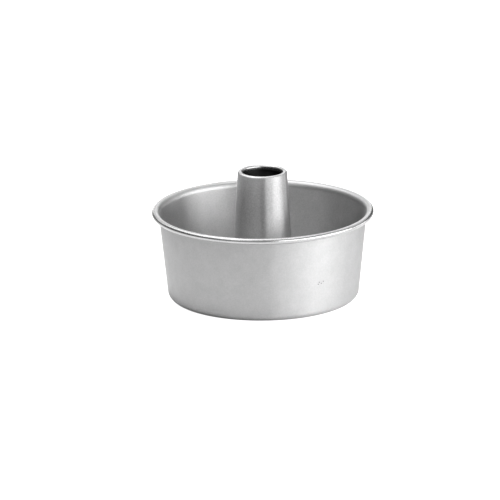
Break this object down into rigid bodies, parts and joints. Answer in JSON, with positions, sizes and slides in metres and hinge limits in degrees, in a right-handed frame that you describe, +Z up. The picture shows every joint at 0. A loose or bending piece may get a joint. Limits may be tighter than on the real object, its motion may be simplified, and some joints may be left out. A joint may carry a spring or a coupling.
{
  "type": "angel food cake pan",
  "caption": "Round tube pan with drafted walls, a rolled rim and a loose base that lifts out together with its tall tapered centre tube.",
  "frame": {"origin": "on the pan's axis at table level, the middle of its round foot", "axes": "+Z up along the axis of the tube; the pan is round, so X and Y are alike"},
  "size_m": [0.2436, 0.2436, 0.1413],
  "materials": {
    "pan_ring": "fine satin, anodised",
    "base_plate": "satin with faint spinning marks, anodised",
    "centre_tube": "fine satin, anodised"
  },
  "bodies": {
    "ring": {"pan_ring": "pan_ring"},
    "insert": {"base_plate": "base_plate", "centre_tube": "centre_tube"}
  },
  "joints": [
    {"name": "base_lift", "type": "slide", "parent": "ring", "child": "insert", "axis": [0, 0, 1], "range_m": [0, 0.12]}
  ]
}
